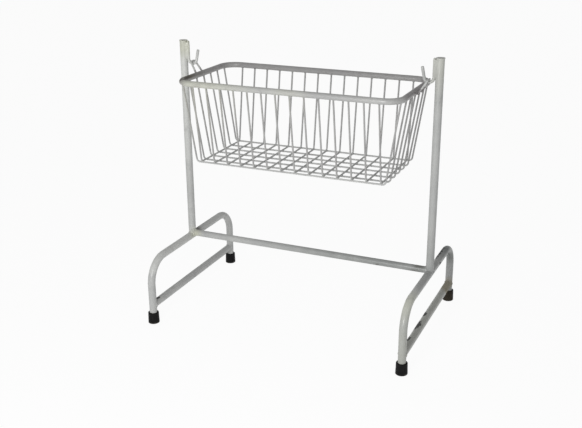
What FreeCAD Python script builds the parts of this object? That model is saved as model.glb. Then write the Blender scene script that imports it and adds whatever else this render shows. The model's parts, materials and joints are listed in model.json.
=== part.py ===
import FreeCAD, Part
import math
import os
import Sketcher
from FreeCAD import Placement, Rotation, Vector

# Hospital bassinet: a wire basket that hangs by two bails on the hooks of a welded tube stand.
# Millimetres, +Z up. X runs along the basket from the left leg frame to the right one, and the
# front is -Y. The origin is on the floor, below the middle of the stand.

DIMENSIONS = (
    # tube stand
    ("tube_dia", 25.4, "uprights, leg frames and braces, outside"),
    ("tube_wall", 1.6, "wall of every stand tube"),
    ("crossbar_dia", 22.2, "crossbar, outside"),
    ("frame_spacing", 875.0, "between the planes of the two leg frames"),
    ("leg_spread", 562.0, "between the two legs of a frame"),
    ("leg_bend_radius", 80.0, "bend between leg and top bar, to the tube's axis"),
    ("top_bar_height", 218.0, "floor to the axis of a leg frame's top bar"),
    ("crossbar_rise", 8.5, "crossbar's axis above the top bars' axes"),
    ("brace_height", 64.0, "floor to the axis of a brace"),
    ("stand_height", 912.0, "floor to the top of the upright's cap"),
    ("saddle_start", 3.0, "from a tube's axis to the ends of the tubes that are saddled to it"),
    ("weld_gap", 0.15, "root gap between pieces that are welded together"),
    # caps and feet
    ("cap_thickness", 2.5, "cap's disc on top of the upright"),
    ("cap_overhang", 1.2, "cap's disc beyond the tube, on the radius"),
    ("cap_plug_length", 12.0, "cap's plug inside the upright"),
    ("cap_fit", 0.1, "between plug and bore, on the radius"),
    ("cap_edge_radius", 0.8, "rounding round the cap's disc"),
    ("foot_dia", 38.0, "rubber ferrule at the floor"),
    ("foot_top_dia", 35.6, "rubber ferrule at its rim"),
    ("foot_height", 38.0, "rubber ferrule, overall"),
    ("foot_sole", 7.0, "rubber under the washer"),
    ("foot_edge_radius", 1.5, "rounding of the ferrule's outer edges"),
    ("foot_fit", 0.05, "between leg and ferrule, on the radius"),
    ("washer_thickness", 1.6, "steel washer between leg and sole"),
    ("washer_bore", 8.0, "hole of the washer"),
    # hooks
    ("rod_dia", 9.5, "hook's round bar"),
    ("hook_bend_radius", 15.0, "to the bar's axis"),
    ("hook_drop", 76.0, "stand's top down to the bar's axis at the hook's lowest point"),
    ("shank_clearance", 2.0, "between the end of the shank and the cap over it"),
    ("hook_lean", 12.0, "degrees that the tip leans away from the upright"),
    ("hook_tip_length", 36.0, "straight part of the tip"),
    ("rod_end_radius", 3.0, "rounding of the bar's ends"),
    # basket
    ("rim_dia", 19.0, "basket's rim tube, outside"),
    ("rim_wall", 1.2, "basket's rim tube"),
    ("rim_end_clearance", 48.3, "between the rim's end and the upright"),
    ("rim_width", 352.0, "between the axes of the rim's long sides"),
    ("rim_corner_radius", 52.0, "to the tube's axis"),
    ("rim_drop", 29.0, "hook's lowest point down to the rim, axis to axis"),
    ("wire_dia", 5.6, "basket wires"),
    ("basket_depth", 263.0, "rim down to the cross wires' floor, axis to axis"),
    ("side_slope", 39.0, "how far a long side leans in from rim to floor"),
    ("end_slope", 44.0, "how far an end leans in from rim to floor"),
    ("wire_bend_radius", 12.0, "floor corners, to the wire's axis"),
    ("cross_wire_count", 14, "U wires across the basket"),
    ("cross_wire_margin", 2.0, "from the last cross wire to the long wires' bend"),
    ("long_wire_count", 7, "U wires along the basket"),
    ("edge_wire_outset", 2.0, "from the floor's edge out to the outermost long wire"),
    ("rim_wire_inset", 35.0, "from the rim's side in to the top of the outermost long wire"),
    # bails
    ("bail_dia", 6.35, "bail wire"),
    ("bail_top_width", 26.0, "between the corners on top of the hook"),
    ("bail_foot_width", 44.0, "between the ends on the rim"),
    ("bail_bend_radius", 8.0, "to the wire's axis"),
    ("hang_gap", 0.3, "between bail and hook"),
)

# Sizes that follow from the driving ones.
HALF_SPACING = "Dims.frame_spacing / 2"
HALF_SPREAD = "Dims.leg_spread / 2"
LEG_FOOT = "(Dims.foot_sole + Dims.washer_thickness)"
TUBE_BORE = "(Dims.tube_dia - 2 * Dims.tube_wall)"
CROSSBAR_BORE = "(Dims.crossbar_dia - 2 * Dims.tube_wall)"
WELDED_RADIUS = "(Dims.tube_dia / 2 + Dims.weld_gap)"

SHANK_X = "(Dims.frame_spacing / 2 - Dims.tube_dia / 2 - Dims.weld_gap - Dims.rod_dia / 2)"
HOOK_X = f"({SHANK_X} - Dims.hook_bend_radius)"
HOOK_Z = "(Dims.stand_height - Dims.hook_drop)"

RIM_HALF_LENGTH = "(Dims.frame_spacing / 2 - Dims.tube_dia / 2 - Dims.rim_end_clearance - Dims.rim_dia / 2)"
RIM_HALF_WIDTH = "(Dims.rim_width / 2)"
RIM_Z = f"({HOOK_Z} - Dims.rim_drop)"
RIM_SEAT = "(Dims.rim_dia / 2 + Dims.weld_gap)"
FLOOR_Z = f"({RIM_Z} - Dims.basket_depth)"
FLOOR_HALF_LENGTH = f"({RIM_HALF_LENGTH} - Dims.end_slope)"
FLOOR_HALF_WIDTH = f"({RIM_HALF_WIDTH} - Dims.side_slope)"
WIRE_PITCH = "(Dims.wire_dia + Dims.weld_gap)"

BAIL_Z = f"({HOOK_Z} + Dims.rod_dia / 2 + Dims.hang_gap + Dims.bail_dia / 2)"
BAIL_SEAT = "(Dims.rim_dia / 2 + Dims.bail_dia / 2 + Dims.weld_gap)"

SIDES = (("left", -1), ("right", 1))
ENDS = (("front", -1), ("rear", 1))

# Two points this close are taken as one.
SAME_POINT = 1e-3

doc = FreeCAD.newDocument("Bassinet")
sheet = doc.addObject("Spreadsheet::Sheet", "Dims")
for row, (alias, size, meaning) in enumerate(DIMENSIONS, 1):
    sheet.set(f"A{row}", alias)
    sheet.set(f"B{row}", str(size))
    sheet.set(f"C{row}", meaning)
    sheet.setAlias(f"B{row}", alias)
doc.recompute()


def number(expression):
    """Value of a sheet expression as a plain number."""
    result = sheet.evalExpression(expression)
    return float(getattr(result, "Value", result))


# ---------------------------------------------------------------- bodies and sketches

def new_body(name):
    body = doc.addObject("PartDesign::Body", name)
    body.Label = name
    doc.recompute()
    return body


def place(body, x="0", y="0", z="0", axis=Vector(0, 0, 1), angle="0"):
    """Put a body at x, y, z, turned about one axis."""
    body.Placement = Placement(Vector(0, 0, 0), Rotation(axis, max(abs(number(angle)), 1.0)))
    body.setExpression("Placement.Base.x", x)
    body.setExpression("Placement.Base.y", y)
    body.setExpression("Placement.Base.z", z)
    body.setExpression("Placement.Rotation.Angle", f"({angle}) * 1 deg")


def origin_plane(body, role):
    return next(feature for feature in body.Origin.OriginFeatures if feature.Role == role)


def new_sketch(body, plane, offset=None):
    sketch = body.newObject("Sketcher::SketchObject", body.Name + "_sketch")
    sketch.AttachmentSupport = [(origin_plane(body, plane), "")]
    sketch.MapMode = "FlatFace"
    if offset:
        sketch.setExpression("AttachmentOffset.Base.z", offset)
    return sketch


def bind(sketch, constraint, expression):
    """Add a dimension to a sketch and tie it to a sheet expression."""
    index = sketch.addConstraint(constraint)
    name = f"size_{index}"
    sketch.renameConstraint(index, name)
    sketch.setExpression("Constraints." + name, expression)


def pin(sketch, geometry, point, x, y):
    """Tie a point of the sketch to the coordinates x, y."""
    for kind, expression in (("DistanceX", x), ("DistanceY", y)):
        distance = Sketcher.Constraint(kind, -1, 1, geometry, point, number(expression))
        bind(sketch, distance, expression)


def add_circle(sketch, diameter, x="0", y="0"):
    centre = Vector(number(x), number(y), 0)
    circle = sketch.addGeometry(Part.Circle(centre, Vector(0, 0, 1), number(diameter) / 2))
    bind(sketch, Sketcher.Constraint("Diameter", circle, number(diameter)), diameter)
    pin(sketch, circle, 3, x, y)


def add_polygon(sketch, corners):
    """Closed outline through the corners, each one an x, y pair."""
    points = [Vector(number(x), number(y), 0) for x, y in corners]
    count = len(points)
    for index, (x, y) in enumerate(corners):
        line = sketch.addGeometry(Part.LineSegment(points[index], points[(index + 1) % count]))
        pin(sketch, line, 1, x, y)
        if index:
            sketch.addConstraint(Sketcher.Constraint("Coincident", line - 1, 2, line, 1))
    sketch.addConstraint(Sketcher.Constraint("Coincident", count - 1, 2, 0, 1))


def corner_arc(before, corner, after, radius):
    """Arc that rounds a corner, with the points where it leaves the two lines."""
    back = (before - corner).normalize()
    ahead = (after - corner).normalize()
    half_angle = back.getAngle(ahead) / 2
    start = corner + back * (radius / math.tan(half_angle))
    end = corner + ahead * (radius / math.tan(half_angle))
    middle = (back + ahead).normalize()
    crown = corner + middle * (radius / math.sin(half_angle) - radius)
    return start, end, Part.Arc(start, crown, end)


def add_bent_path(sketch, corners, bend_radius):
    """Open path of straight lines with every inner corner rounded; returns its edge names."""
    points = [Vector(number(x), number(y), 0) for x, y in corners]
    radius = number(bend_radius)
    inner = range(1, len(points) - 1)
    bends = [corner_arc(points[k - 1], points[k], points[k + 1], radius) for k in inner]
    starts = [points[0]] + [end for start, end, arc in bends]
    ends = [start for start, end, arc in bends] + [points[-1]]
    lines = [sketch.addGeometry(Part.LineSegment(a, b)) for a, b in zip(starts, ends)]
    for k, (start, end, arc) in zip(inner, bends):
        bend = sketch.addGeometry(arc)
        apex = sketch.addGeometry(Part.Point(points[k]), True)
        near = 1 if sketch.getPoint(bend, 1).isEqual(start, SAME_POINT) else 2
        for line, line_end, arc_end in ((lines[k - 1], 2, near), (lines[k], 1, 3 - near)):
            sketch.addConstraint(Sketcher.Constraint("Tangent", line, line_end, bend, arc_end))
            sketch.addConstraint(Sketcher.Constraint("PointOnObject", apex, 1, line))
        bind(sketch, Sketcher.Constraint("Radius", bend, radius), bend_radius)
        pin(sketch, apex, 1, *corners[k])
    pin(sketch, lines[0], 1, *corners[0])
    pin(sketch, lines[-1], 2, *corners[-1])


# ---------------------------------------------------------------- features

def add_pad(body, sketch, length, symmetric=False):
    pad = body.newObject("PartDesign::Pad", body.Name + "_pad")
    pad.Profile = sketch
    pad.setExpression("Length", length)
    if symmetric:
        pad.SideType = "Symmetric"
    return pad


def cut_through(body, plane, circles):
    """Cut round holes right through the body; circles holds diameter, x and y of each."""
    sketch = new_sketch(body, plane)
    for circle in circles:
        add_circle(sketch, *circle)
    doc.recompute()
    volume = body.Shape.Volume
    pocket = body.newObject("PartDesign::Pocket", body.Name + "_pocket")
    pocket.Profile = sketch
    pocket.Type = "ThroughAll"
    pocket.SideType = "Symmetric"
    doc.recompute()
    if body.Shape.Volume >= volume:
        raise RuntimeError(f"{body.Label}: the cut removes nothing")


def add_revolution(body, sketch):
    turned = body.newObject("PartDesign::Revolution", body.Name + "_turned")
    turned.Profile = sketch
    turned.ReferenceAxis = (sketch, ["V_Axis"])
    turned.Angle = 360


def add_pipe(body, profile, path):
    doc.recompute()
    pipe = body.newObject("PartDesign::AdditivePipe", body.Name + "_pipe")
    pipe.Profile = profile
    pipe.Spine = (path, [f"Edge{k}" for k in range(1, len(path.Shape.Edges) + 1)])
    return pipe


def mirror(body, feature, plane):
    """Complete a body that is modelled as one half."""
    doc.recompute()
    mirrored = body.newObject("PartDesign::Mirrored", body.Name + "_mirrored")
    mirrored.Originals = [feature]
    mirrored.MirrorPlane = (origin_plane(body, plane), [""])
    body.Tip = mirrored


def round_edges(body, radius, centres):
    """Round the widest circular edge round each of the given centres, in the body's own frame."""
    doc.recompute()
    base = body.Tip
    names = []
    for centre in centres:
        rings = [
            (edge.Curve.Radius, f"Edge{k}")
            for k, edge in enumerate(base.Shape.Edges, 1)
            if isinstance(edge.Curve, Part.Circle) and edge.Curve.Center.isEqual(centre, SAME_POINT)
        ]
        names.append(max(rings)[1])
    fillet = body.newObject("PartDesign::Fillet", body.Name + "_round")
    fillet.Base = (base, names)
    fillet.setExpression("Radius", radius)


def on_axis(height):
    return Vector(0, 0, number(height))


# ---------------------------------------------------------------- stand

def leg_frame(side, sign):
    """Tube bent to an upside-down U: two legs and the top bar between them."""
    body = new_body(f"{side}_leg_frame")
    profile = new_sketch(body, "XZ_Plane")
    add_circle(profile, "Dims.tube_dia")
    add_circle(profile, TUBE_BORE)
    path = new_sketch(body, "YZ_Plane")
    leg_end = f"{LEG_FOOT} - Dims.top_bar_height"
    add_bent_path(path, (("0", "0"), (HALF_SPREAD, "0"), (HALF_SPREAD, leg_end)), "Dims.leg_bend_radius")
    mirror(body, add_pipe(body, profile, path), "XZ_Plane")
    place(body, x=f"{sign} * {HALF_SPACING}", z="Dims.top_bar_height")


def brace(side, sign):
    """Low bar between the two legs of a frame, with its ends saddled to them."""
    body = new_body(f"{side}_brace")
    profile = new_sketch(body, "XZ_Plane")
    add_circle(profile, "Dims.tube_dia")
    add_circle(profile, TUBE_BORE)
    add_pad(body, profile, "Dims.leg_spread - 2 * Dims.saddle_start", symmetric=True)
    legs = [(f"2 * {WELDED_RADIUS}", "0", f"{end} * {HALF_SPREAD}") for end in (-1, 1)]
    cut_through(body, "XY_Plane", legs)
    place(body, x=f"{sign} * {HALF_SPACING}", z="Dims.brace_height")


def crossbar():
    """Bar that joins the two leg frames, coped to the uprights and to the top bars."""
    body = new_body("crossbar")
    profile = new_sketch(body, "YZ_Plane")
    add_circle(profile, "Dims.crossbar_dia")
    add_circle(profile, CROSSBAR_BORE)
    add_pad(body, profile, "Dims.frame_spacing", symmetric=True)
    uprights = [(f"2 * {WELDED_RADIUS}", f"{end} * {HALF_SPACING}", "0") for end in (-1, 1)]
    cut_through(body, "XY_Plane", uprights)
    top_bars = [(size, x, "-Dims.crossbar_rise") for size, x, y in uprights]
    cut_through(body, "XZ_Plane", top_bars)
    place(body, z="Dims.top_bar_height + Dims.crossbar_rise")


def upright(side, sign):
    """Post on the middle of a top bar, saddled to it at the bottom and capped at the top."""
    body = new_body(f"{side}_upright")
    profile = new_sketch(body, "XY_Plane", offset="Dims.saddle_start")
    add_circle(profile, "Dims.tube_dia")
    add_circle(profile, TUBE_BORE)
    top = "Dims.stand_height - Dims.cap_thickness - Dims.top_bar_height"
    add_pad(body, profile, f"{top} - Dims.saddle_start")
    cut_through(body, "XZ_Plane", [(f"2 * {WELDED_RADIUS}", "0", "0")])
    place(body, x=f"{sign} * {HALF_SPACING}", z="Dims.top_bar_height")


def upright_cap(side, sign):
    """Disc that closes the upright, with a plug pressed into the tube."""
    body = new_body(f"{side}_upright_cap")
    plug_radius = f"({TUBE_BORE} / 2 - Dims.cap_fit)"
    disc_radius = "(Dims.tube_dia / 2 + Dims.cap_overhang)"
    outline = new_sketch(body, "XZ_Plane")
    add_polygon(outline, (
        ("0", "-Dims.cap_plug_length"),
        (plug_radius, "-Dims.cap_plug_length"),
        (plug_radius, "0"),
        (disc_radius, "0"),
        (disc_radius, "Dims.cap_thickness"),
        ("0", "Dims.cap_thickness"),
    ))
    add_revolution(body, outline)
    round_edges(body, "Dims.cap_edge_radius", [on_axis("Dims.cap_thickness")])
    place(body, x=f"{sign} * {HALF_SPACING}", z="Dims.stand_height - Dims.cap_thickness")


def foot(side, sign, end, depth):
    """Rubber ferrule that the leg stands in, with a steel washer on its sole."""
    at = {"x": f"{sign} * {HALF_SPACING}", "y": f"{depth} * {HALF_SPREAD}"}
    bore_radius = "(Dims.tube_dia / 2 + Dims.foot_fit)"
    ferrule = new_body(f"foot_{end}_{side}")
    outline = new_sketch(ferrule, "XZ_Plane")
    add_polygon(outline, (
        ("0", "0"),
        ("Dims.foot_dia / 2", "0"),
        ("Dims.foot_top_dia / 2", "Dims.foot_height"),
        (bore_radius, "Dims.foot_height"),
        (bore_radius, "Dims.foot_sole"),
        ("0", "Dims.foot_sole"),
    ))
    add_revolution(ferrule, outline)
    round_edges(ferrule, "Dims.foot_edge_radius", [on_axis("0"), on_axis("Dims.foot_height")])
    place(ferrule, **at)

    washer = new_body(f"foot_washer_{end}_{side}")
    ring = new_sketch(washer, "XY_Plane")
    add_circle(ring, "Dims.tube_dia")
    add_circle(ring, "Dims.washer_bore")
    add_pad(washer, ring, "Dims.washer_thickness")
    place(washer, z="Dims.foot_sole", **at)


def hook(side, sign):
    """Round bar: a shank on the upright's inner side, a bend, and a tip that leans away."""
    body = new_body(f"{side}_hook")
    section = new_sketch(body, "XY_Plane")
    add_circle(section, "Dims.rod_dia")
    shank = "(Dims.hook_drop - Dims.hook_bend_radius - Dims.cap_thickness - Dims.shank_clearance)"
    add_pad(body, section, shank)

    profile = new_sketch(body, "XY_Plane")
    add_circle(profile, "Dims.rod_dia")
    path = new_sketch(body, "XZ_Plane")
    radius = number("Dims.hook_bend_radius")
    lean = math.radians(number("Dims.hook_lean"))
    bend_start = Vector(0, 0, 0)
    lowest = Vector(-radius, -radius, 0)
    bend_end = Vector(-radius - radius * math.cos(lean), -radius * math.sin(lean), 0)
    towards_tip = Vector(-math.sin(lean), math.cos(lean), 0)
    tip = bend_end + towards_tip * number("Dims.hook_tip_length")
    bend = path.addGeometry(Part.Arc(bend_start, lowest, bend_end))
    straight = path.addGeometry(Part.LineSegment(bend_end, tip))
    near = 1 if path.getPoint(bend, 1).isEqual(bend_start, SAME_POINT) else 2
    path.addConstraint(Sketcher.Constraint("Coincident", bend, near, -1, 1))
    path.addConstraint(Sketcher.Constraint("PointOnObject", bend, 3, -1))
    path.addConstraint(Sketcher.Constraint("Tangent", bend, 3 - near, straight, 1))
    bind(path, Sketcher.Constraint("Radius", bend, radius), "Dims.hook_bend_radius")
    bind(path, Sketcher.Constraint("Distance", straight, number("Dims.hook_tip_length")), "Dims.hook_tip_length")
    bind(path, Sketcher.Constraint("Angle", straight, math.pi / 2 + lean), "90 deg + Dims.hook_lean * 1 deg")
    add_pipe(body, profile, path)
    round_edges(body, "Dims.rod_end_radius", [on_axis(shank), Vector(tip.x, 0, tip.y)])
    turn = "0" if sign > 0 else "180"
    place(body, x=f"{sign} * {SHANK_X}", z=f"{HOOK_Z} + Dims.hook_bend_radius", angle=turn)


# ---------------------------------------------------------------- basket

def rim_reach(along, half_along, half_across):
    """Distance from the rim's middle to its axis, at a place that lies `along` from the middle."""
    straight = f"({half_along} - Dims.rim_corner_radius)"
    past = f"({along} - {straight})"
    round_part = f"(sqrt(Dims.rim_corner_radius ^ 2 - {past} ^ 2) - Dims.rim_corner_radius)"
    return f"({half_across} + ({past} > 0 ? {round_part} : 0))"


def basket_rim():
    """Tube bent to a rectangle with round corners."""
    body = new_body("basket_rim")
    profile = new_sketch(body, "YZ_Plane")
    for size in ("Dims.rim_dia", "Dims.rim_dia - 2 * Dims.rim_wall"):
        add_circle(profile, size, x=f"-{RIM_HALF_WIDTH}")
    path = new_sketch(body, "XY_Plane")
    corners = [("0", -1), (RIM_HALF_LENGTH, -1), (RIM_HALF_LENGTH, 1), ("0", 1)]
    add_bent_path(path, [(x, f"{y} * {RIM_HALF_WIDTH}") for x, y in corners], "Dims.rim_corner_radius")
    mirror(body, add_pipe(body, profile, path), "YZ_Plane")
    place(body, z=RIM_Z)


def u_wire(body, profile_plane, path_plane, half_floor, half_top, rise):
    """Wire bent to a U: a floor part and two legs that end on the rim's underside.

    half_top and rise give the rim's axis, which the leg points at."""
    lean = f"atan(({half_top} - {half_floor}) / ({rise}))"
    end_x = f"{half_top} - {RIM_SEAT} * sin({lean})"
    end_z = f"{rise} - {RIM_SEAT} * cos({lean})"
    profile = new_sketch(body, profile_plane)
    add_circle(profile, "Dims.wire_dia")
    path = new_sketch(body, path_plane)
    add_bent_path(path, (("0", "0"), (half_floor, "0"), (end_x, end_z)), "Dims.wire_bend_radius")
    mirror(body, add_pipe(body, profile, path), profile_plane)


def bend_run(slope, rise):
    """Length of floor that a wire's bend takes up, measured from the floor's corner."""
    return f"(Dims.wire_bend_radius * tan(45 deg - atan({slope} / {rise}) / 2))"


def cross_wires():
    """U wires across the basket, evenly spaced between the long wires' bends."""
    count = int(number("Dims.cross_wire_count"))
    long_bend = bend_run("Dims.end_slope", "Dims.basket_depth")
    outermost = f"({FLOOR_HALF_LENGTH} - {long_bend} - Dims.wire_dia / 2 - Dims.cross_wire_margin)"
    for k in range(count):
        share = 2 * k / (count - 1) - 1
        x = f"({share} * {outermost})"
        reach = rim_reach(f"({abs(share)} * {outermost})", RIM_HALF_LENGTH, RIM_HALF_WIDTH)
        body = new_body(f"cross_wire_{k + 1:02d}")
        u_wire(body, "XZ_Plane", "YZ_Plane", FLOOR_HALF_WIDTH, reach, "Dims.basket_depth")
        place(body, x=x, z=FLOOR_Z)


def long_wires():
    """U wires along the basket: they carry the cross wires, the outermost ones round the outside of
    their bends, and fan out towards the rim."""
    count = int(number("Dims.long_wire_count"))
    outermost = f"({FLOOR_HALF_WIDTH} + Dims.edge_wire_outset)"
    top_outermost = f"({RIM_HALF_WIDTH} - Dims.rim_wire_inset)"
    cross_bend = bend_run("Dims.side_slope", "Dims.basket_depth")
    outside_bend = f"(Dims.wire_bend_radius + {WIRE_PITCH})"
    for k in range(count):
        share = 2 * k / (count - 1) - 1
        y = f"({share} * {outermost})"
        y_rim = f"({abs(share)} * {top_outermost})"
        into_bend = f"({abs(share)} * {outermost} - {FLOOR_HALF_WIDTH} + {cross_bend})"
        wrapped = f"(Dims.wire_bend_radius - sqrt({outside_bend} ^ 2 - {into_bend} ^ 2))"
        height = f"({into_bend} > 0 ? {wrapped} : -{WIRE_PITCH})"
        rise = f"(Dims.basket_depth - {height})"
        spread = f"({y_rim} - {abs(share)} * {outermost})"
        sideways = f"atan({spread} / {rise})"
        reach = rim_reach(y_rim, RIM_HALF_WIDTH, RIM_HALF_LENGTH)
        body = new_body(f"long_wire_{k + 1}")
        u_wire(body, "YZ_Plane", "XZ_Plane", FLOOR_HALF_LENGTH, reach, f"({rise} / cos({sideways}))")
        outward = Vector(-1 if share > 0 else 1, 0, 0)
        place(body, y=y, z=f"{FLOOR_Z} + {height}", axis=outward, angle=f"{sideways} / 1 deg")


def bail(side, sign):
    """Wire loop that hangs over the hook, its legs welded on the rim's outer flank."""
    level = f"({HOOK_X} - {RIM_HALF_LENGTH})"
    drop = f"({BAIL_Z} - {RIM_Z})"
    to_rim = f"sqrt({level} ^ 2 + {drop} ^ 2)"
    lean = f"(atan({level} / {drop}) - asin({BAIL_SEAT} / {to_rim}))"
    leg = f"sqrt({to_rim} ^ 2 - {BAIL_SEAT} ^ 2)"
    body = new_body(f"{side}_bail")
    profile = new_sketch(body, "XZ_Plane")
    add_circle(profile, "Dims.bail_dia")
    path = new_sketch(body, "YZ_Plane")
    corners = (("0", "0"), ("Dims.bail_top_width / 2", "0"), ("Dims.bail_foot_width / 2", f"-{leg}"))
    add_bent_path(path, corners, "Dims.bail_bend_radius")
    mirror(body, add_pipe(body, profile, path), "XZ_Plane")
    place(body, x=f"{sign} * {HOOK_X}", z=BAIL_Z, axis=Vector(0, sign, 0), angle=f"{lean} / 1 deg")


# ---------------------------------------------------------------- assembly

crossbar()
for side, sign in SIDES:
    leg_frame(side, sign)
    brace(side, sign)
    upright(side, sign)
    upright_cap(side, sign)
    hook(side, sign)
    bail(side, sign)
    for end, depth in ENDS:
        foot(side, sign, end, depth)
basket_rim()
cross_wires()
long_wires()
doc.recompute()

for item in doc.Objects:
    if "Invalid" in item.State or "Error" in item.State:
        raise RuntimeError(f"{item.Label}: {item.State}")

bodies = [item for item in doc.Objects if item.TypeId == "PartDesign::Body"]
for body in bodies:
    if body.Shape.isNull() or not body.Shape.isValid() or len(body.Shape.Solids) != 1:
        raise RuntimeError(f"{body.Label}: not one valid solid")

os.makedirs("parts", exist_ok=True)
for body in bodies:
    body.Shape.exportStep(f"parts/{body.Label}.step")
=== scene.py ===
import json
import math

import bpy
import numpy
from mathutils import Matrix, Vector, noise
from mathutils.bvhtree import BVHTree

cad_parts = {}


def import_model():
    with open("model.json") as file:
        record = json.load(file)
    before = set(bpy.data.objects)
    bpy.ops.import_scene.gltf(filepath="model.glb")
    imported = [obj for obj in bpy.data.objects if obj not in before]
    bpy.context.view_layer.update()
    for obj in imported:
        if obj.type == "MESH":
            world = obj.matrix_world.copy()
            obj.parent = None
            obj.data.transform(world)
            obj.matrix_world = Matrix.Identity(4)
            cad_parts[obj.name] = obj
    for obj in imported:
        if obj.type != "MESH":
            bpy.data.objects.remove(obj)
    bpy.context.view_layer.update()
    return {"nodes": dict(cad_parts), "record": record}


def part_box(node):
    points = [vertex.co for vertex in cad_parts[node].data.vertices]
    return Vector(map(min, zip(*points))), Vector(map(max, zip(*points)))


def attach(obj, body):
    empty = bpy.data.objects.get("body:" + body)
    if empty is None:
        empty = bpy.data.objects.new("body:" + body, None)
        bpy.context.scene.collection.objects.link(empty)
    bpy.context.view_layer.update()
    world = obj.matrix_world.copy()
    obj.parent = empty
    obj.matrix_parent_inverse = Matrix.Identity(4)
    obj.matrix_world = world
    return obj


# Looks of the hospital bassinet: paint, rubber, the welds between tubes and wires, and the studio.
# Metres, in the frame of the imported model: +Z up, the basket along X, the front towards -Y.

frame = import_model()


# ---------------------------------------------------------------- sizes read from the frame

def middle(node):
    low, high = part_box(node)
    return (low + high) / 2


def extent(node):
    low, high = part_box(node)
    return high - low


SIDES = {"left": -1, "right": 1}
ENDS = {"front": -1, "rear": 1}

TUBE_RADIUS = extent("left_leg_frame").x / 2
CROSSBAR_RADIUS = extent("crossbar").y / 2
ROD_RADIUS = extent("right_hook").y / 2
RIM_RADIUS = extent("basket_rim").z / 2
WIRE_RADIUS = extent("cross_wire_01").x / 2
BAIL_RADIUS = 0.003175  # a bent bail's box is nowhere as thin as its wire
FRAME_X = middle("right_leg_frame").x
LEG_Y = middle("foot_rear_right").y
TOP_BAR_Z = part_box("right_leg_frame")[1].z - TUBE_RADIUS
BRACE_Z = middle("right_brace").z
CROSSBAR_Z = middle("crossbar").z
RIM_Z = middle("basket_rim").z
FOOT_TOP = extent("foot_front_left").z

CROSS_WIRES = sorted(node for node in frame["nodes"] if node.startswith("cross_wire"))
LONG_WIRES = sorted(node for node in frame["nodes"] if node.startswith("long_wire"))
MIDDLE_WIRE = LONG_WIRES[len(LONG_WIRES) // 2]


# ---------------------------------------------------------------- where the welded pieces meet

def surface(*nodes):
    """Search tree of the nodes' faces, to find where a line or a point meets them."""
    points, faces = [], []
    for node in nodes:
        mesh = frame["nodes"][node].data
        first = len(points)
        points += [vertex.co.copy() for vertex in mesh.vertices]
        faces += [[first + index for index in face.vertices] for face in mesh.polygons]
    return BVHTree.FromPolygons(points, faces)


def sideways(direction):
    """Two unit vectors square to the direction and to each other."""
    first = direction.orthogonal().normalized()
    return first, direction.cross(first).normalized()


def angles(count):
    """A full turn in equal steps."""
    return [math.tau * k / count for k in range(count)]


def circle(u, v, count):
    """Directions of a full turn in the plane of u and v."""
    return [u * math.cos(angle) + v * math.sin(angle) for angle in angles(count)]


def seam(start, direction, radius, target, count):
    """Closed line where a round bar meets the target, and the bar's way out at each point."""
    outward = circle(*sideways(direction), count)
    line = [target.ray_cast(start + out * radius, direction)[0] for out in outward]
    return line, outward


def bar_end(node, chosen):
    """Centre of a bar's end face and the bar's upward direction there, from the vertices chosen."""
    vertices = [vertex.co for vertex in frame["nodes"][node].data.vertices if chosen(vertex.co)]
    ring = numpy.unique(numpy.round(numpy.array(vertices), decimals=6), axis=0)
    centre = (ring.max(0) + ring.min(0)) / 2
    axis = Vector(numpy.linalg.svd(ring - centre)[2][2])
    return Vector(centre), axis if axis.z > 0 else -axis


# ---------------------------------------------------------------- meshes of the welds

def add_object(name, data):
    """New object in the scene that holds the data."""
    item = bpy.data.objects.new(name, data)
    bpy.context.scene.collection.objects.link(item)
    return item


class Shell:
    """Points and faces of one piece, gathered bead by bead."""

    def __init__(self):
        self.points = []
        self.faces = []

    def add_rings(self, rings, closed):
        """Skin over a row of rings; closed joins the last ring to the first."""
        sides = len(rings[0])
        first = len(self.points)
        for ring in rings:
            self.points += ring
        count = len(rings)
        for a in range(count if closed else count - 1):
            b = (a + 1) % count
            for k in range(sides):
                n = (k + 1) % sides
                corners = (a * sides + k, b * sides + k, b * sides + n, a * sides + n)
                self.faces.append([first + corner for corner in corners])
        if not closed:
            self.faces.append([first + k for k in range(sides)])
            self.faces.append([first + (count - 1) * sides + k for k in reversed(range(sides))])

    def add_bead(self, line, outward, radius, pitch=0.0022, ripple=0.2, sides=10):
        """Weld bead along a closed line, with the scales that the welder's steps leave."""
        mean_swell = 0.6
        unevenness = 0.6
        lumps_per_metre = 300
        run = 0.0
        rings = []
        for k, (point, out) in enumerate(zip(line, outward)):
            along = (line[(k + 1) % len(line)] - line[k - 1]).normalized()
            across = along.cross(out).normalized()
            run += (point - line[k - 1]).length if k else 0.0
            swell = 1 + ripple * (abs(math.sin(math.pi * run / pitch)) - mean_swell)
            swell += unevenness * ripple * noise.noise(point * lumps_per_metre)
            rings.append([point + way * radius * swell for way in circle(out, across, sides)])
        self.add_rings(rings, closed=True)

    def add_nugget(self, centre, axis, width, height, levels=5, sides=10):
        """Melted drop of a spot weld, flattened along the axis and a little uneven."""
        unevenness = 0.16
        lumps_per_metre = 420
        ways = circle(*sideways(axis), sides)
        rings = []
        for level in range(levels):
            latitude = math.pi * ((level + 0.5) / levels - 0.5)
            rise = axis * height * math.sin(latitude)
            ring = []
            for way in ways:
                point = centre + way * width * math.cos(latitude) + rise
                swell = 1 + unevenness * noise.noise(point * lumps_per_metre)
                ring.append(centre + (point - centre) * swell)
            rings.append(ring)
        self.add_rings(rings, closed=False)

    def piece(self, name, body, slot):
        """Make the piece, which moves with the body and wears the slot's finish."""
        mesh = bpy.data.meshes.new(name)
        mesh.from_pydata(self.points, [], self.faces)
        mesh.shade_smooth()
        mesh.materials.append(FINISHES[slot])
        item = add_object(name, mesh)
        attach(item, body)


# ---------------------------------------------------------------- node trees

def colour(red, green, blue):
    """Colour as it looks on a screen, 0 to 255, as the linear one that shaders take."""
    linear = [((part / 255 + 0.055) / 1.055) ** 2.4 for part in (red, green, blue)]
    return (*linear, 1.0)


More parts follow.
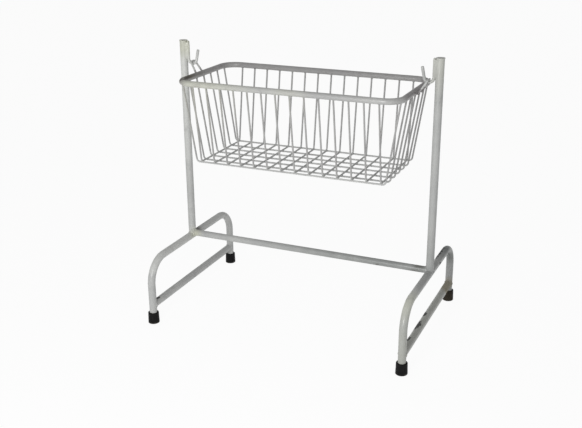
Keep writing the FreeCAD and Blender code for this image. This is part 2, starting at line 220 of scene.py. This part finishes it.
class Tree:
    """Node tree of a material or of the world, with a short call for each kind of node."""

    def __init__(self, owner):
        owner.use_nodes = True
        self.nodes = owner.node_tree.nodes
        self.links = owner.node_tree.links

    def feed(self, socket, value):
        """Give a socket a plain value or link another node's output to it."""
        if isinstance(value, bpy.types.NodeSocket):
            self.links.new(value, socket)
        else:
            socket.default_value = value

    def fill(self, node, inputs):
        """Feed a node's inputs, each called by its name or number."""
        for name, value in inputs.items():
            self.feed(node.inputs[name], value)

    def add(self, kind, inputs):
        node = self.nodes.new(kind)
        self.fill(node, inputs)
        return node

    def calculate(self, kind, operation, values):
        node = self.nodes.new(kind)
        node.operation = operation
        for socket, value in zip(node.inputs, values):
            self.feed(socket, value)
        return node.outputs

    def math(self, operation, *values):
        return self.calculate("ShaderNodeMath", operation, values)[0]

    def vector_math(self, operation, *values):
        return self.calculate("ShaderNodeVectorMath", operation, values)

    def split(self, vector):
        return self.add("ShaderNodeSeparateXYZ", {0: vector}).outputs

    def blend(self, factor, first, second):
        """Shader that goes from the first to the second."""
        return self.add("ShaderNodeMixShader", {0: factor, 1: first, 2: second}).outputs[0]


class Graph(Tree):
    """Node tree of a material of the object, with the masks that its wear is made of."""

    def __init__(self, name, roughness, specular):
        self.material = bpy.data.materials.new(name)
        super().__init__(self.material)
        self.shader = self.nodes["Principled BSDF"]
        self.fill(self.shader, {"Roughness": roughness, "Specular IOR Level": specular})
        coordinates = self.nodes.new("ShaderNodeTexCoord").outputs
        self.place = coordinates["Object"]
        self.x, self.y, self.z = self.split(self.place)
        self.up = self.split(coordinates["Normal"])[2]

    def band(self, value, low, high):
        """0 where the value is below low, 1 where it is above high, smooth between."""
        limits = {"Value": value, "From Min": low, "From Max": high}
        node = self.add("ShaderNodeMapRange", limits)
        node.interpolation_type = "SMOOTHSTEP"
        return node.outputs["Result"]

    def noise(self, scale, detail, stretch=(1, 1, 1), offset=(0, 0, 0)):
        """Cloudy pattern from 0 to 1, scale lumps to the metre."""
        moved = {"Vector": self.place, "Scale": stretch, "Location": offset}
        place = self.add("ShaderNodeMapping", moved).outputs[0]
        pattern = {"Vector": place, "Scale": scale, "Detail": detail}
        return self.add("ShaderNodeTexNoise", pattern).outputs["Fac"]

    def near(self, point, radius, stretch=(1, 1, 1)):
        """1 at the point, 0 from the radius on; a stretch below 1 lengthens the spot that way."""
        offset = self.vector_math("SUBTRACT", self.place, point)[0]
        scaled = self.vector_math("MULTIPLY", offset, stretch)[0]
        distance = self.vector_math("LENGTH", scaled)["Value"]
        return self.band(self.math("SUBTRACT", radius, distance), 0, radius)

    def all_of(self, *masks):
        result = masks[0]
        for mask in masks[1:]:
            result = self.math("MULTIPLY", result, mask)
        return result

    def any_of(self, *masks):
        result = masks[0]
        for mask in masks[1:]:
            result = self.math("MAXIMUM", result, mask)
        return result

    def spots(self, *places):
        """Spots at several places, each given as its point, radius and stretch."""
        return self.any_of(*[self.near(*place) for place in places])

    def mix(self, factor, first, second):
        """Colour that goes from the first to the second."""
        node = self.nodes.new("ShaderNodeMix")
        node.data_type = "RGBA"
        self.fill(node, {0: factor, 6: first, 7: second})
        return node.outputs[2]

    def bump(self, height, distance, after=None):
        """Relief as deep as the distance, on top of the relief that comes before it."""
        node = self.add("ShaderNodeBump", {"Strength": 1.0, "Distance": distance, "Height": height})
        if after:
            self.feed(node.inputs["Normal"], after)
        return node.outputs["Normal"]

    def finish(self, paint, roughness, normal):
        surface_inputs = {"Base Color": paint, "Roughness": roughness, "Normal": normal}
        self.fill(self.shader, surface_inputs)
        return self.material


# ---------------------------------------------------------------- paint

GREY = colour(188, 189, 187)
GREY_DEEP = colour(179, 180, 179)
# paler grey for painted light
GREY_PAINTED_LIGHT = colour(208, 209, 206)
BEIGE = colour(194, 195, 180)
# grime colours, which also paint shade
STAND_GRIME_AND_SHADE = colour(110, 114, 112)
BASKET_GRIME_AND_SHADE = colour(120, 115, 116)
STAIN = colour(64, 56, 42)
BARE_STEEL = colour(66, 66, 65)
RUST = colour(146, 138, 118)


def enamel(name, wear_and_painted_light, grime_and_shade_colour):
    """Old light grey enamel on steel: uneven tone, yellowing, grime, stains, scuffs and chips, with
    painted shade on the tops and in shaded places and painted light in paler places.
    """
    g = Graph(name, roughness=0.4, specular=0.45)
    tone = g.noise(9, detail=4, offset=(3, 1, 7))
    cloud = g.noise(28, detail=5, offset=(1, 8, 2))
    masks = wear_and_painted_light(g)
    paint = g.mix(g.band(tone, 0.35, 0.68), GREY, GREY_DEEP)
    # painted light: paler paint where the masks ask for it
    paint = g.mix(masks["painted_light"], paint, GREY_PAINTED_LIGHT)
    paint = g.mix(g.all_of(masks["yellowed"], g.band(cloud, 0.1, 0.5)), paint, BEIGE)
    # tops darker: settled dust and painted shade
    settled_and_top_shade = g.all_of(g.band(g.up, 0.1, 1.0), masks["dust_and_top_shade"])
    # grime and painted shade from the masks, and random cloudy grime
    grime_and_shade = g.any_of(settled_and_top_shade, masks["grimy_and_shaded"], g.all_of(g.band(cloud, 0.52, 0.8), 0.3))
    uneven = g.math("ADD", g.math("MULTIPLY", cloud, 0.9), 0.5)
    paint = g.mix(g.math("MINIMUM", g.all_of(grime_and_shade, uneven), 1.0), paint, grime_and_shade_colour)
    stained = g.math("MULTIPLY", masks["stained"], g.math("ADD", cloud, 0.55))
    paint = g.mix(g.math("MINIMUM", stained, 0.95), paint, STAIN)

    speckle = g.noise(420, detail=3, offset=(5, 5, 5))
    patchy = g.noise(16, detail=2, offset=(9, 4, 1))
    chips = g.all_of(g.band(speckle, 0.69, 0.72), g.band(patchy, 0.56, 0.68))
    scrape = g.noise(130, detail=5, offset=(2, 6, 4))
    scuffs = g.band(g.math("ADD", masks["worn"], scrape), 0.98, 1.12)
    bare = g.any_of(chips, scuffs)
    paint = g.mix(g.all_of(bare, 0.9), paint, BARE_STEEL)
    rust = g.band(g.math("ADD", masks["rusty"], cloud), 0.8, 1.3)
    paint = g.mix(g.all_of(rust, 0.8), paint, RUST)

    gloss = g.math("ADD", g.math("MULTIPLY", tone, 0.22), 0.2)
    dull = g.math("MULTIPLY", g.any_of(bare, rust), 0.75)
    peel = g.bump(g.noise(650, detail=2), 0.00012)
    waves = g.bump(g.noise(90, detail=2, offset=(4, 2, 9)), 0.0006, after=peel)
    flaked = g.bump(g.math("SUBTRACT", 1.0, bare), 0.00012, after=waves)
    grain = g.bump(g.noise(900, detail=3), 0.00003, after=flaked)
    return g.finish(paint, g.math("MAXIMUM", gloss, dull), grain)


def stand_wear_and_painted_light(g):
    """Marks of the stand: yellowed at the left post's top and the right front bend; painted shade
    with some grime darkens the right side, the crossbar and the low rear parts, and painted light
    pales the left post, the left top bar and the right front bend.
    """
    left = g.band(g.x, 0.0, -0.1)
    right = g.band(g.x, 0.0, 0.1)
    left_frame = g.band(g.x, -0.42, -0.424)
    right_frame = g.band(g.x, 0.42, 0.424)
    aside = g.math("ABSOLUTE", g.x)
    posts = g.band(aside, FRAME_X - 0.03, FRAME_X - 0.026)
    between = g.band(aside, FRAME_X - TUBE_RADIUS, FRAME_X - TUBE_RADIUS - 0.002)
    under_posts = g.band(g.z, 0.26, 0.24)

    left_top = g.all_of(left, posts, g.band(g.z, 0.83, 0.895))
    right_top = g.all_of(right, posts, g.band(g.z, 0.74, 0.9), 0.4)
    bend = g.all_of(g.near((FRAME_X, -LEG_Y + 0.045, TOP_BAR_Z - 0.012), 0.1), 0.75)
    shin = g.all_of(right, g.band(g.y, -0.2, -0.26), g.band(g.z, 0.22, 0.1), 0.45)
    joint = g.near((-FRAME_X + 0.02, -0.01, CROSSBAR_Z), 0.035)
    low_bar = g.all_of(right, g.band(g.z, 0.085, 0.08), g.band(g.y, 0.24, 0.2), 0.4)

    # painted light: paler paint for the highlight on the right front bend's elbow, the lit top of
    # the right post, and the left post and left top bar, paler towards the post's top and the bar's
    # front
    elbow_highlight = g.near((FRAME_X, -0.225, TOP_BAR_Z - 0.002), 0.1)
    off_elbow_highlight = g.math("SUBTRACT", 1.0, elbow_highlight)
    upwards = g.math("ADD", 0.6, g.all_of(g.band(g.z, 0.66, 0.78), 0.4))
    left_post = g.all_of(left, g.band(g.z, 0.4, 0.6), g.band(g.z, 0.885, 0.85), upwards)
    right_post = g.all_of(right, g.band(g.z, 0.86, 0.9), 0.7)
    forwards = g.math("ADD", 0.3, g.all_of(g.band(g.y, 0.02, -0.04), 0.5))
    left_bar = g.all_of(left_frame, g.band(g.z, 0.17, 0.19), under_posts, forwards)

    # painted shade with some grime: the right frame's rear, darker towards the bottom, and the
    # right top bar behind its bend
    downwards = g.math("ADD", 0.35, g.all_of(g.band(g.z, 0.13, 0.19), 0.65))
    rear_right = g.all_of(right, g.band(g.y, 0.02, 0.2), g.band(g.z, 0.34, 0.24), downwards)
    behind_bend = g.band(g.y, -0.15, -0.13)
    right_bar = g.all_of(right_frame, behind_bend, g.band(g.z, 0.17, 0.2), under_posts, 0.35)
    # painted shade with some grime: the crossbar, darker towards the right, and the low parts on
    # the right away from the elbow, darker towards the bottom
    crossbar = g.all_of(between, g.band(g.z, 0.3, 0.28), g.band(g.x, -0.35, 0.25), 0.6)
    rising = g.math("ADD", g.all_of(g.band(g.z, 0.5, 0.25), 0.2), 0.1)
    low_right = g.all_of(g.band(g.x, 0.1, 0.43), rising, off_elbow_highlight)

    low_face = (-0.55 * CROSSBAR_RADIUS, CROSSBAR_Z - 0.83 * CROSSBAR_RADIUS)
    crossbar_top = CROSSBAR_Z + CROSSBAR_RADIUS
    stains = g.spots(
        # behind the left post's foot
        ((-FRAME_X, 0.03, TOP_BAR_Z + TUBE_RADIUS), 0.03),
        # knocks on and under the crossbar towards the right
        ((FRAME_X - 0.034, 0.0, crossbar_top), 0.02, (0.6, 1, 1)),
        ((FRAME_X - 0.048, *low_face), 0.016, (0.5, 1, 1)),
        ((0.262, *low_face), 0.014),
    )
    scuff_x = FRAME_X - 0.6 * TUBE_RADIUS
    scuff_z = BRACE_Z + 0.8 * TUBE_RADIUS
    left_brace_top = (-FRAME_X + 0.1 * TUBE_RADIUS, -0.25, BRACE_Z + TUBE_RADIUS)
    scuffs = g.spots(
        # along the right brace
        ((scuff_x, -0.1, scuff_z), 0.024, (1, 0.35, 1)),
        ((scuff_x, -0.015, scuff_z), 0.019, (1, 0.5, 1)),
        ((scuff_x, -0.2, scuff_z), 0.018, (1, 0.45, 1)),
        # outside of the right top bar, and the left brace near its front end
        ((FRAME_X + 0.0125, 0.085, TOP_BAR_Z), 0.014, (1, 0.8, 1)),
        (left_brace_top, 0.011, (1, 0.5, 1)),
    )
    scraped = g.near((FRAME_X - 0.007, 0.155, TOP_BAR_Z + 0.0105), 0.02, (1, 0.13, 1))

    brace_end = g.near((FRAME_X, LEG_Y - 0.045, BRACE_Z + 0.003), 0.06, (1, 0.6, 1))
    at_foot = g.all_of(g.band(g.z, FOOT_TOP + 0.012, FOOT_TOP), 0.4)
    return {
        "yellowed": g.any_of(left_top, right_top, bend, shin, joint, low_bar),
        # paler paint as painted light
        "painted_light": g.any_of(left_post, right_post, left_bar, elbow_highlight),
        # tops darker, more on the right away from the elbow: settled dust and painted shade
        "dust_and_top_shade": g.math("ADD", 0.06, g.all_of(right, off_elbow_highlight, 0.16)),
        # grime and painted shade at the places above
        "grimy_and_shaded": g.any_of(rear_right, right_bar, crossbar, low_right),
        "stained": g.all_of(stains, 0.6),
        "worn": g.any_of(scuffs, g.all_of(scraped, 0.8)),
        "rusty": g.any_of(brace_end, at_foot),
    }


def basket_wear_and_painted_shade(g):
    """Marks of the basket: grip grime and painted shade darken the rim at its ends and rear, and a
    dark stain lies on the rim most at its front left corner.
    """
    low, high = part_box("basket_rim")
    below_rim = g.band(g.z, RIM_Z - 2 * RIM_RADIUS, RIM_Z - RIM_RADIUS)
    at_rim = g.all_of(below_rim, g.band(g.z, RIM_Z + 0.012, RIM_Z + 0.01))
    floor_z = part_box("cross_wire_01")[0].z
    # the wall wires below the rim darker than the floor's
    under_rim = g.band(g.z, RIM_Z - RIM_RADIUS, RIM_Z - 1.2 * RIM_RADIUS)
    walls = g.all_of(under_rim, g.band(g.z, floor_z + 0.006, floor_z + 0.02))

    # grip grime and painted shade: the rim darker at its ends and rear, most at the right end, and
    # a little at the front towards the right
    front_right = g.band(g.x, -0.2, 0.1)
    front = g.all_of(g.band(g.y, low.y + 0.06, low.y + 0.02), front_right, 0.16)
    rear = g.all_of(g.band(g.y, high.y - 0.06, high.y - 0.02), 0.5)
    left_end = g.all_of(g.band(g.x, low.x + 0.06, low.x + 0.01), 0.6)
    behind_corner = g.band(g.y, -0.16, -0.1)
    right_end = g.all_of(g.band(g.x, high.x - 0.07, high.x - 0.02), behind_corner, 0.85)
    gripped_and_shaded = g.all_of(at_rim, g.any_of(left_end, right_end, rear, front))

    faded = g.near((-0.3, -0.18, RIM_Z), 0.28)
    faded = g.any_of(faded, g.all_of(g.near((0.02, -0.18, RIM_Z), 0.1), 0.6))
    upper = g.band(g.z, RIM_Z - 0.2 * RIM_RADIUS, RIM_Z + 0.7 * RIM_RADIUS)
    inner = g.band(g.y, low.y + 0.012, low.y + 0.024)
    corner = (low.x + 0.018, low.y + 0.05, RIM_Z + 0.7 * RIM_RADIUS)
    bail_foot = (middle("right_bail").x, 0.0, RIM_Z)
    return {
        "painted_light": 0.0,
        # tops of the rim away from the front darker: dust and painted shade
        "dust_and_top_shade": g.all_of(at_rim, g.band(g.y, -0.15, -0.1), 0.25),
        "yellowed": g.all_of(faded, 0.7),
        # grip grime and painted shade on the rim, and the wall wires darker than the floor's
        "grimy_and_shaded": g.any_of(gripped_and_shaded, g.all_of(walls, 0.4)),
        "stained": g.all_of(upper, inner, g.near(corner, 0.12, (1.6, 0.8, 1))),
        "worn": g.all_of(g.near(bail_foot, 0.03), 0.5),
        "rusty": g.all_of(g.near((low.x + 0.02, low.y + 0.1, RIM_Z), 0.05), 0.4),
    }


# ---------------------------------------------------------------- rubber and steel

RUBBER_DARK = colour(13, 13, 14)
RUBBER_WORN = colour(26, 26, 26)
RUBBER_SCRATCHED = colour(60, 60, 59)
FLOOR_DUST = colour(104, 98, 90)
RUSTY_DUST = colour(58, 53, 45)
WASHER_FACE = colour(168, 168, 166)
WASHER_RUST = colour(120, 92, 70)


def rubber():
    """Black ferrules: a satin skin with fine scratches and dust, rusty at the rear right foot."""
    g = Graph("foot_rubber", roughness=0.6, specular=0.1)
    cloud = g.noise(70, detail=5)
    scratch = g.noise(260, detail=4, stretch=(1, 1, 6))
    skin = g.mix(g.band(cloud, 0.3, 0.75), RUBBER_DARK, RUBBER_WORN)
    dust = g.all_of(g.band(g.z, 0.009, 0.0), g.band(cloud, 0.35, 0.6), 0.35)
    skin = g.mix(dust, skin, FLOOR_DUST)
    skin = g.mix(g.all_of(g.band(scratch, 0.62, 0.7), 0.3), skin, RUBBER_SCRATCHED)
    rear_right = g.near((FRAME_X - 0.006, LEG_Y - 0.012, 0.018), 0.05)
    skin = g.mix(g.band(g.math("ADD", rear_right, cloud), 0.7, 1.2), skin, RUSTY_DUST)
    roughness = g.math("ADD", g.math("MULTIPLY", cloud, 0.3), 0.42)
    normal = g.bump(scratch, 0.0001, after=g.bump(g.noise(1400, detail=2), 0.00004))
    return g.finish(skin, roughness, normal)


def steel():
    """Turned washer inside a ferrule: fine rings, a little rust."""
    g = Graph("washer_steel", roughness=0.35, specular=0.5)
    g.fill(g.shader, {"Metallic": 1.0})
    turned = g.noise(1500, detail=2, stretch=(1, 1, 0.1))
    face = g.mix(g.band(g.noise(120, detail=4), 0.5, 0.75), WASHER_FACE, WASHER_RUST)
    roughness = g.math("ADD", g.math("MULTIPLY", turned, 0.3), 0.2)
    return g.finish(face, roughness, g.bump(turned, 0.00002))


FINISHES = {
    "stand_paint": enamel("stand_paint_old", stand_wear_and_painted_light, STAND_GRIME_AND_SHADE),
    "basket_paint": enamel("basket_paint_old", basket_wear_and_painted_shade, BASKET_GRIME_AND_SHADE),
    "foot_rubber": rubber(),
    "washer_steel": steel(),
}
for subpart in frame["record"]["subparts"]:
    slots = frame["nodes"][subpart["node"]].data.materials
    for index in range(len(slots)):
        slots[index] = FINISHES[subpart["material_slot"]]


# ---------------------------------------------------------------- welds of the stand

def frame_welds(side, sign):
    """Beads round the brace's ends, the upright's foot and the crossbar's end."""
    shell = Shell()
    bead = 0.0024
    saddled = 0.985 * TUBE_RADIUS
    legs = surface(f"{side}_leg_frame")
    x = sign * FRAME_X
    for depth in ENDS.values():
        start = Vector((x, depth * LEG_Y / 2, BRACE_Z))
        shell.add_bead(*seam(start, Vector((0, depth, 0)), saddled, legs, count=120), bead)
    above = Vector((x, 0, TOP_BAR_Z + 3 * TUBE_RADIUS))
    shell.add_bead(*seam(above, Vector((0, 0, -1)), saddled, legs, count=120), bead)
    corner = surface(f"{side}_leg_frame", f"{side}_upright")
    start = Vector((x / 2, 0, CROSSBAR_Z))
    line, outward = seam(start, Vector((sign, 0, 0)), CROSSBAR_RADIUS, corner, count=110)
    shell.add_bead(line, outward, 1.25 * bead)
    shell.piece(f"{side}_frame_welds", "stand", "stand_paint")


def filler_depth(z, below, above):
    """How far the filler lies under the skin of post and shank; it sinks in at its two ends."""
    even_sink = 0.0003
    foot_run, foot_sink = 0.012, 0.0055
    top_run, top_sink = 0.003, 0.0012
    step, step_depth = 0.004, 0.00012
    at_foot = max(0.0, 1 - below / foot_run)
    at_top = max(0.0, 1 - above / top_run)
    depth = even_sink + foot_sink * at_foot ** 2 + top_sink * at_top ** 2
    return depth + step_depth * abs(math.sin(math.pi * z / step))


def hook_welds(side, sign):
    """Filler that makes the hook's shank and the upright one smooth bar, and a drop on its top."""
    low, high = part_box(f"{side}_hook")
    apart = TUBE_RADIUS + ROD_RADIUS
    slope = math.asin((TUBE_RADIUS - ROD_RADIUS) / apart)
    steps = 7
    levels = 120
    over_bend, under_top = 0.0155, 0.0012
    mid_groove = 0.4
    lump_height, lumps_per_metre = 0.0004, 90
    start = low.z + over_bend
    height = high.z - under_top - start
    rings = []
    for level in range(levels):
        share = level / (levels - 1)
        z = start + height * share
        depth = filler_depth(z, share * height, (1 - share) * height)
        front = []
        for step in range(steps):
            along = step / (steps - 1)
            radius = TUBE_RADIUS + (ROD_RADIUS - TUBE_RADIUS) * along
            hollow = depth * (1 - mid_groove * math.cos(math.tau * along))
            lump = lump_height * noise.noise(Vector((along, z * lumps_per_metre, sign)))
            inner = radius - (hollow - lump)
            front.append((apart * along + inner * math.sin(slope), inner * math.cos(slope)))
        outline = [(x, -y) for x, y in front] + [(x, y) for x, y in reversed(front)]
        rings.append([Vector((sign * (FRAME_X - x), y, z)) for x, y in outline])
    shell = Shell()
    shell.add_rings(rings, closed=False)
    up = Vector((0, 0, 1))
    sunk, drop_height = 0.0003, 0.0032
    shank_top = Vector((sign * (FRAME_X - apart), 0, high.z - sunk))
    shell.add_nugget(shank_top, up, 0.96 * ROD_RADIUS, drop_height, levels=9, sides=20)
    shell.piece(f"{side}_hook_welds", "stand", "stand_paint")


def ferrule_lip(side, end):
    """Rolled lip round a ferrule's mouth."""
    lip = 0.0011
    inset, drop = 2.1 * lip, 1.4 * lip
    foot = middle(f"foot_{end}_{side}")
    radius = extent(f"foot_{end}_{side}").x / 2 - inset
    outward = circle(Vector((1, 0, 0)), Vector((0, 1, 0)), count=72)
    line = [Vector((foot.x, foot.y, FOOT_TOP - drop)) + out * radius for out in outward]
    shell = Shell()
    shell.add_bead(line, outward, lip, ripple=0.04, pitch=0.02)
    shell.piece(f"foot_lip_{end}_{side}", "stand", "foot_rubber")


for side, sign in SIDES.items():
    frame_welds(side, sign)
    hook_welds(side, sign)
    for end in ENDS:
        ferrule_lip(side, end)


# ---------------------------------------------------------------- welds of the basket

def wire_end(node, axis, sign):
    """Top end of a U wire on one side of the basket."""
    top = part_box(node)[1].z - WIRE_RADIUS
    return bar_end(node, lambda point: point.z > top and sign * point[axis] > 0)


def rim_welds():
    """Beads that join the wires' ends to the rim's underside."""
    rim = surface("basket_rim")
    shell = Shell()
    ends = [wire_end(node, 1, sign) for node in CROSS_WIRES for sign in ENDS.values()]
    ends += [wire_end(node, 0, sign) for node in LONG_WIRES for sign in SIDES.values()]
    bead = 0.0012
    below_end = 0.004
    for centre, along in ends:
        start = centre - along * below_end
        line, outward = seam(start, along, WIRE_RADIUS, rim, count=24)
        shell.add_bead(line, outward, bead, pitch=0.0018, ripple=0.3, sides=8)
    shell.piece("rim_welds", "basket", "basket_paint")


def floor_run(long):
    """Place across and height of a long wire's straight run, from which its ends fan out."""
    low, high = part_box(long)
    if long == MIDDLE_WIRE:
        y = middle(long).y
    else:
        inner = min(low.y, high.y, key=abs)
        y = inner + math.copysign(WIRE_RADIUS, inner)
    return y, low.z + WIRE_RADIUS


def floor_welds():
    """Spot welds where the wires of the floor cross."""
    shell = Shell()
    for cross in CROSS_WIRES:
        skin = surface(cross)
        for long in LONG_WIRES:
            axis_point = Vector((middle(cross).x, *floor_run(long)))
            touch = skin.find_nearest(axis_point)[0]
            up = (touch - axis_point).normalized()
            shell.add_nugget(touch, up, width=1.15 * WIRE_RADIUS, height=0.62 * WIRE_RADIUS)
    shell.piece("floor_welds", "basket", "basket_paint")


def bail_welds():
    """Beads round the bails' feet, which lie flat on the rim's end bars."""
    rim = surface("basket_rim")
    shell = Shell()
    bead = 0.0014
    shift, half_length = 0.0015, 0.0035
    for side in SIDES:
        node = f"{side}_bail"
        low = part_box(node)[0].z + 2 * BAIL_RADIUS
        for depth in ENDS.values():
            foot, along = bar_end(node, lambda point: point.z < low and depth * point.y > 0)
            touch, normal = rim.find_nearest(foot)[:2]
            across = normal.cross(along).normalized()
            line = []
            for angle in angles(count=40):
                reach = along * (shift + half_length * math.cos(angle))
                reach += across * BAIL_RADIUS * math.sin(angle)
                line.append(rim.find_nearest(touch + reach)[0])
            outward = [normal] * len(line)
            shell.add_bead(line, outward, bead, pitch=0.002, ripple=0.3, sides=8)
    shell.piece("bail_welds", "basket", "basket_paint")


rim_welds()
floor_welds()
bail_welds()


# ---------------------------------------------------------------- studio

def backdrop(name, share):
    """White to the camera and in reflections by the share, and still takes the object's shadow."""
    material = bpy.data.materials.new(name)
    tree = Tree(material)
    matt = tree.nodes["Principled BSDF"]
    tree.fill(matt, {"Base Color": colour(246, 246, 246), "Roughness": 0.9})
    white = tree.nodes.new("ShaderNodeEmission")
    rays = tree.nodes.new("ShaderNodeLightPath").outputs
    seen = tree.math("MAXIMUM", rays["Is Camera Ray"], rays["Is Glossy Ray"])
    blend = tree.blend(tree.math("MULTIPLY", seen, share), matt.outputs[0], white.outputs[0])
    tree.fill(tree.nodes["Material Output"], {"Surface": blend})
    return material


def floor():
    """Wide floor a hair below the soles."""
    size = 30.0
    cells = 30
    z = -0.0002
    points = [(size * (i / cells - 0.5), size * (j / cells - 0.5), z)
              for j in range(cells + 1) for i in range(cells + 1)]
    faces = []
    for j in range(cells):
        for i in range(cells):
            first = j * (cells + 1) + i
            faces.append((first, first + 1, first + cells + 2, first + cells + 1))
    mesh = bpy.data.meshes.new("studio_floor")
    mesh.from_pydata(points, [], faces)
    mesh.materials.append(backdrop("studio_floor", share=0.94))
    item = add_object("studio_floor", mesh)


def world():
    """White to the camera; what lights the paint is a dimmer dome, darker overhead."""
    at_horizon, overhead = 0.51, 0.35
    full_white = (1, 1, 1, 1)
    sky = bpy.data.worlds.new("studio")
    tree = Tree(sky)
    height = tree.split(tree.nodes.new("ShaderNodeTexCoord").outputs["Generated"])["Z"]
    strength = tree.add("ShaderNodeMapRange", {
        "Value": height,
        "From Min": 0.0,
        "From Max": 1.0,
        "To Min": at_horizon,
        "To Max": overhead,
    }).outputs["Result"]
    dome = tree.nodes["Background"]
    tree.fill(dome, {"Strength": strength, "Color": full_white})
    white = tree.add("ShaderNodeBackground", {"Strength": 1.0, "Color": full_white})
    rays = tree.nodes.new("ShaderNodeLightPath").outputs
    blend = tree.blend(rays["Is Camera Ray"], dome.outputs[0], white.outputs[0])
    tree.fill(tree.nodes["World Output"], {"Surface": blend})
    bpy.context.scene.world = sky


def lamp(name, place, target, size, power):
    """Square lamp that faces the target."""
    light = bpy.data.lights.new(name, "AREA")
    light.shape = "SQUARE"
    light.size = size
    light.energy = power
    item = add_object(name, light)
    item.location = place
    aim = (Vector(target) - Vector(place)).to_track_quat("-Z", "Y")
    item.rotation_euler = aim.to_euler()


def camera():
    """Camera as it stood for the photograph, fitted to the stand's straight tubes."""
    place = Vector((1.0835, -2.5541, 1.3769))
    turn = math.radians(23.280)
    tilt = math.radians(90 - 20.020)
    roll = math.radians(-0.158)
    image_width = 582
    image_height = 428
    focal_length = 880.91
    axis_pixel = (299.93, 211.15)
    data = bpy.data.cameras.new("camera")
    data.sensor_width = 36.0
    data.lens = focal_length * data.sensor_width / image_width
    data.shift_x = ((image_width - 1) / 2 - axis_pixel[0]) / image_width
    data.shift_y = (axis_pixel[1] - (image_height - 1) / 2) / image_width
    data.clip_end = 100.0
    item = add_object("camera", data)
    turned = Matrix.Rotation(turn, 4, "Z") @ Matrix.Rotation(tilt, 4, "X")
    turned = turned @ Matrix.Rotation(roll, 4, "Z")
    item.matrix_world = Matrix.Translation(place) @ turned
    bpy.context.scene.camera = item


floor()
world()
lamp("key", place=(0.15, -2.6, 1.1), target=(0.0, -0.1, 0.55), size=0.9, power=36)
camera()
bpy.context.scene.view_settings.view_transform = "Standard"
